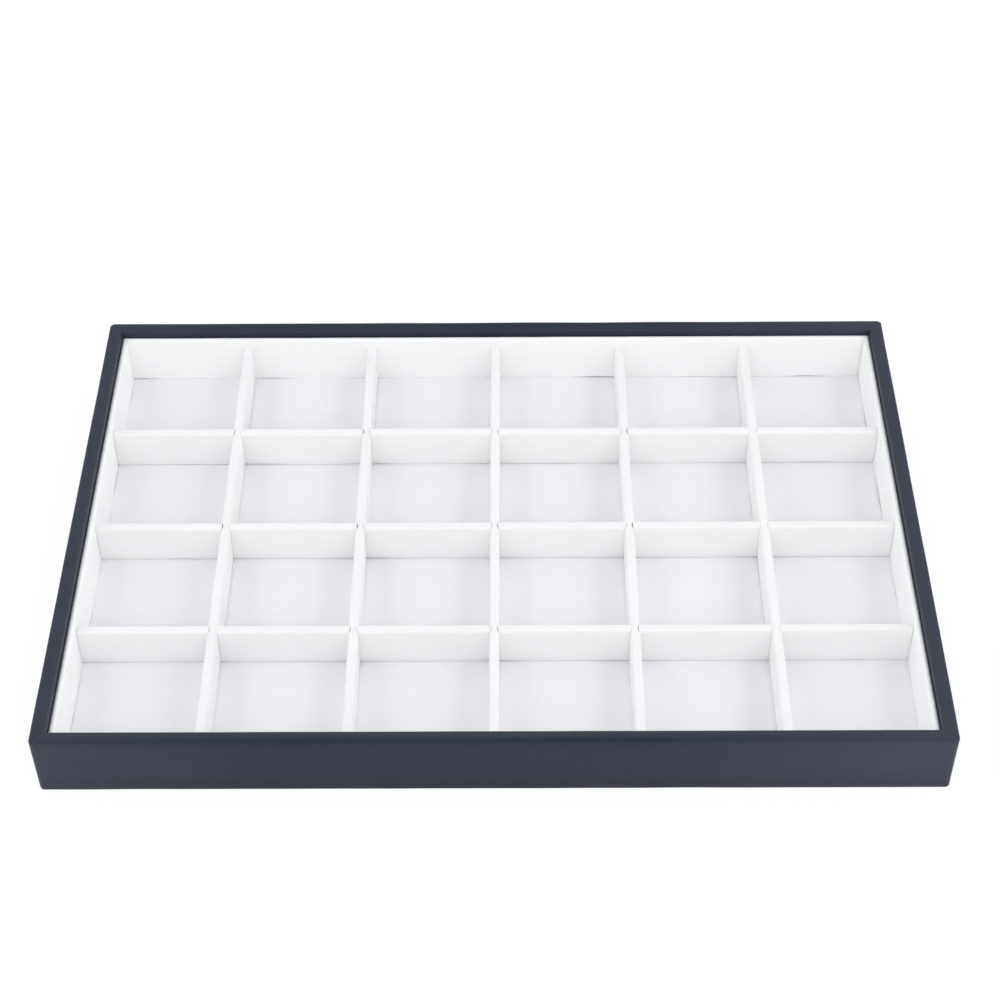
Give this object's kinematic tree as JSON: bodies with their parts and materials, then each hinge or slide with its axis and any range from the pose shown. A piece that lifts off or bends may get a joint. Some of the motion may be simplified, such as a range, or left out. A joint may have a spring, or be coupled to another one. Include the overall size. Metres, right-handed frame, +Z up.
{
  "type": "jewelry tray",
  "caption": "Shallow rectangular jewelry display tray: leatherette-wrapped case, white lined well and a lift-out grid of padded slotted dividers that makes square compartments.",
  "frame": {"origin": "on the supporting surface, under the middle of the tray", "axes": "+X along the long side to the right, +Y to the back, +Z up out of the compartments"},
  "size_m": [0.35, 0.24, 0.03],
  "materials": {
    "dark_leatherette": "satin",
    "white_leatherette": "matte",
    "padded_leatherette": "matte",
    "floor_lining": "matte",
    "base_felt": "matte",
    "fibre_board": "matte",
    "grey_board": "matte",
    "brad_steel": "satin"
  },
  "bodies": {
    "tray": {"front_wall_board": "fibre_board", "rear_wall_board": "fibre_board", "left_wall_board": "fibre_board", "right_wall_board": "fibre_board", "base_board": "fibre_board", "corner_brads": "brad_steel", "outer_wrap": "dark_leatherette", "base_felt": "base_felt", "floor_card": "grey_board", "floor_lining": "floor_lining", "front_liner_board": "grey_board", "rear_liner_board": "grey_board", "left_liner_board": "grey_board", "right_liner_board": "grey_board", "front_liner_cover": "white_leatherette", "rear_liner_cover": "white_leatherette", "left_liner_cover": "white_leatherette", "right_liner_cover": "white_leatherette"},
    "long_dividers": {"long_divider_front_board": "grey_board", "long_divider_front_cover": "padded_leatherette", "long_divider_middle_board": "grey_board", "long_divider_middle_cover": "padded_leatherette", "long_divider_rear_board": "grey_board", "long_divider_rear_cover": "padded_leatherette"},
    "cross_divider_1": {"cross_divider_1_board": "grey_board", "cross_divider_1_cover": "padded_leatherette"},
    "cross_divider_2": {"cross_divider_2_board": "grey_board", "cross_divider_2_cover": "padded_leatherette"},
    "cross_divider_3": {"cross_divider_3_board": "grey_board", "cross_divider_3_cover": "padded_leatherette"},
    "cross_divider_4": {"cross_divider_4_board": "grey_board", "cross_divider_4_cover": "padded_leatherette"},
    "cross_divider_5": {"cross_divider_5_board": "grey_board", "cross_divider_5_cover": "padded_leatherette"}
  },
  "joints": [
    {"name": "grid_lift", "type": "slide", "parent": "tray", "child": "long_dividers", "axis": [0, 0, 1], "range_m": [0, 0.04]},
    {"name": "cross_lift_1", "type": "slide", "parent": "long_dividers", "child": "cross_divider_1", "axis": [0, 0, 1], "range_m": [0, 0.04]},
    {"name": "cross_lift_2", "type": "slide", "parent": "long_dividers", "child": "cross_divider_2", "axis": [0, 0, 1], "range_m": [0, 0.04]},
    {"name": "cross_lift_3", "type": "slide", "parent": "long_dividers", "child": "cross_divider_3", "axis": [0, 0, 1], "range_m": [0, 0.04]},
    {"name": "cross_lift_4", "type": "slide", "parent": "long_dividers", "child": "cross_divider_4", "axis": [0, 0, 1], "range_m": [0, 0.04]},
    {"name": "cross_lift_5", "type": "slide", "parent": "long_dividers", "child": "cross_divider_5", "axis": [0, 0, 1], "range_m": [0, 0.04]}
  ]
}
